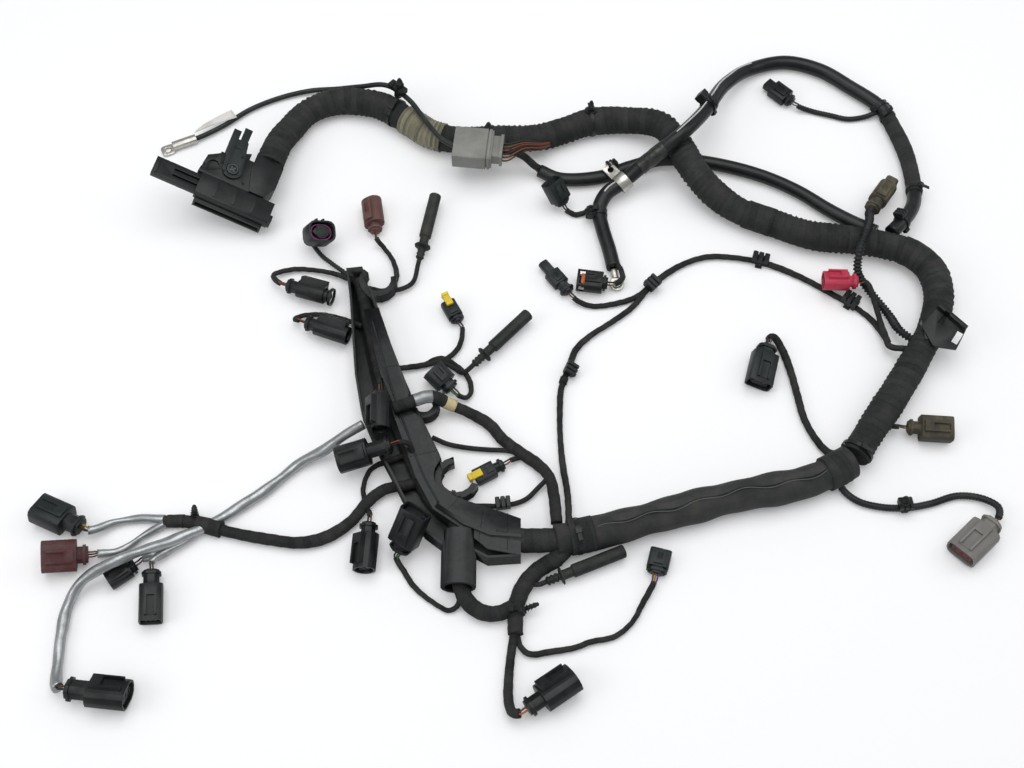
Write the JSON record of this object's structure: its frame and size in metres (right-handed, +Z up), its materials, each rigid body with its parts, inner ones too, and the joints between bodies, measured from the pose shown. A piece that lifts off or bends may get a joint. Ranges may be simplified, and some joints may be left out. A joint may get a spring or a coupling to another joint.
{
  "type": "wiring harness",
  "caption": "Engine wiring harness laid flat: taped trunks, injector tray, rubber boots, small sensor plugs and a wide control unit plug with a lever and a lock slide.",
  "frame": {"origin": "on the underside of the injector tray's floor, at the middle of its upper stretch, level with the bench", "axes": "+X to the right along the layout's length, +Y away from the front edge, +Z up from the bench"},
  "size_m": [0.892, 0.7256, 0.0715],
  "materials": {
    "aluminium_grey": "light grey moulded plastic",
    "black_plastic": "satin moulded plastic",
    "brown_plastic": "satin moulded plastic",
    "grey_black_plastic": "satin moulded plastic",
    "hose": "satin hose and conduit",
    "khaki_wrap": "ribbed foil and cloth wrap",
    "light_grey_plastic": "satin moulded plastic",
    "olive_plastic": "dusty moulded plastic",
    "red_plastic": "satin moulded plastic",
    "rubber": "matt rubber",
    "silver_sleeve": "silver grey sleeve",
    "tape": "matt cloth tape",
    "tin": "tinned metal",
    "wine_plastic": "satin moulded plastic",
    "yellow_plastic": "satin moulded plastic"
  },
  "bodies": {
    "harness": {"magenta_seal_plug": "grey_black_plastic", "brown_plug": "brown_plastic", "injector_plug_1": "black_plastic", "injector_plug_2": "black_plastic", "injector_plug_3": "black_plastic", "injector_plug_4": "black_plastic", "yellow_tab_plug_1": "grey_black_plastic", "round_lock_plug": "grey_black_plastic", "yellow_tab_plug_2": "grey_black_plastic", "barrel_plug": "black_plastic", "blue_line_plug": "black_plastic", "small_purple_plug": "grey_black_plastic", "lower_barrel_plug": "black_plastic", "printed_side_plug": "grey_black_plastic", "red_core_plug": "wine_plastic", "hidden_latch_plug": "black_plastic", "slotted_latch_plug": "black_plastic", "corner_plug": "black_plastic", "upright_plug": "grey_black_plastic", "window_plug": "black_plastic", "slim_plug": "grey_black_plastic", "top_plug": "black_plastic", "dusty_plug": "olive_plastic", "red_plug": "red_plastic", "leaning_plug": "grey_black_plastic", "right_edge_plug": "olive_plastic", "light_grey_plug": "light_grey_plastic", "boot_1": "rubber", "boot_2": "rubber", "boot_3": "rubber", "injector_tray": "black_plastic", "tray_lid": "black_plastic", "trunk_upper": "tape", "trunk_lower": "tape", "tray_loom": "tape", "ecu_plug_housing": "black_plastic", "ecu_rear_cover": "black_plastic", "inline_plug": "aluminium_grey", "shield_wrap": "khaki_wrap", "earth_cable": "hose", "earth_terminal": "tin", "hose_loop": "hose", "hose_lower": "hose", "p_clamp": "tin", "ring_terminal": "tin", "corrugated_tube": "hose", "long_branch": "tape", "mid_branch": "tape", "drop_loom": "tape", "left_loom": "silver_sleeve", "upright_plug_lead": "tape", "leaning_plug_lead": "tape", "right_edge_lead": "tape", "light_grey_lead": "tape", "top_plug_lead": "hose", "loom_bracket": "black_plastic"},
    "lever": {"ecu_lever": "grey_black_plastic"},
    "lock_slide": {"ecu_lock_slide": "black_plastic"},
    "tab_1": {"yellow_tab_slider_1": "yellow_plastic"},
    "tab_2": {"yellow_tab_slider_2": "yellow_plastic"}
  },
  "joints": [
    {"name": "lever_swing", "type": "hinge", "parent": "harness", "child": "lever", "pos_m": [-0.17122, 0.24334, 0.03501], "axis": [0.3791, -0.0945, 0.9205], "range_deg": [0, 75]},
    {"name": "lock_slide_travel", "type": "slide", "parent": "harness", "child": "lock_slide", "axis": [0.8932, -0.2227, -0.3907], "range_m": [0, 0.04]},
    {"name": "tab_1_press", "type": "slide", "parent": "harness", "child": "tab_1", "axis": [0.4695, -0.8829, 0], "range_m": [0, 0.003]},
    {"name": "tab_2_press", "type": "slide", "parent": "harness", "child": "tab_2", "axis": [0.8746, 0.4848, 0], "range_m": [0, 0.003]}
  ],
  "couplings": [
    {"joint": "lock_slide_travel", "follows": "lever_swing", "m_per_rad": 0.03053}
  ]
}
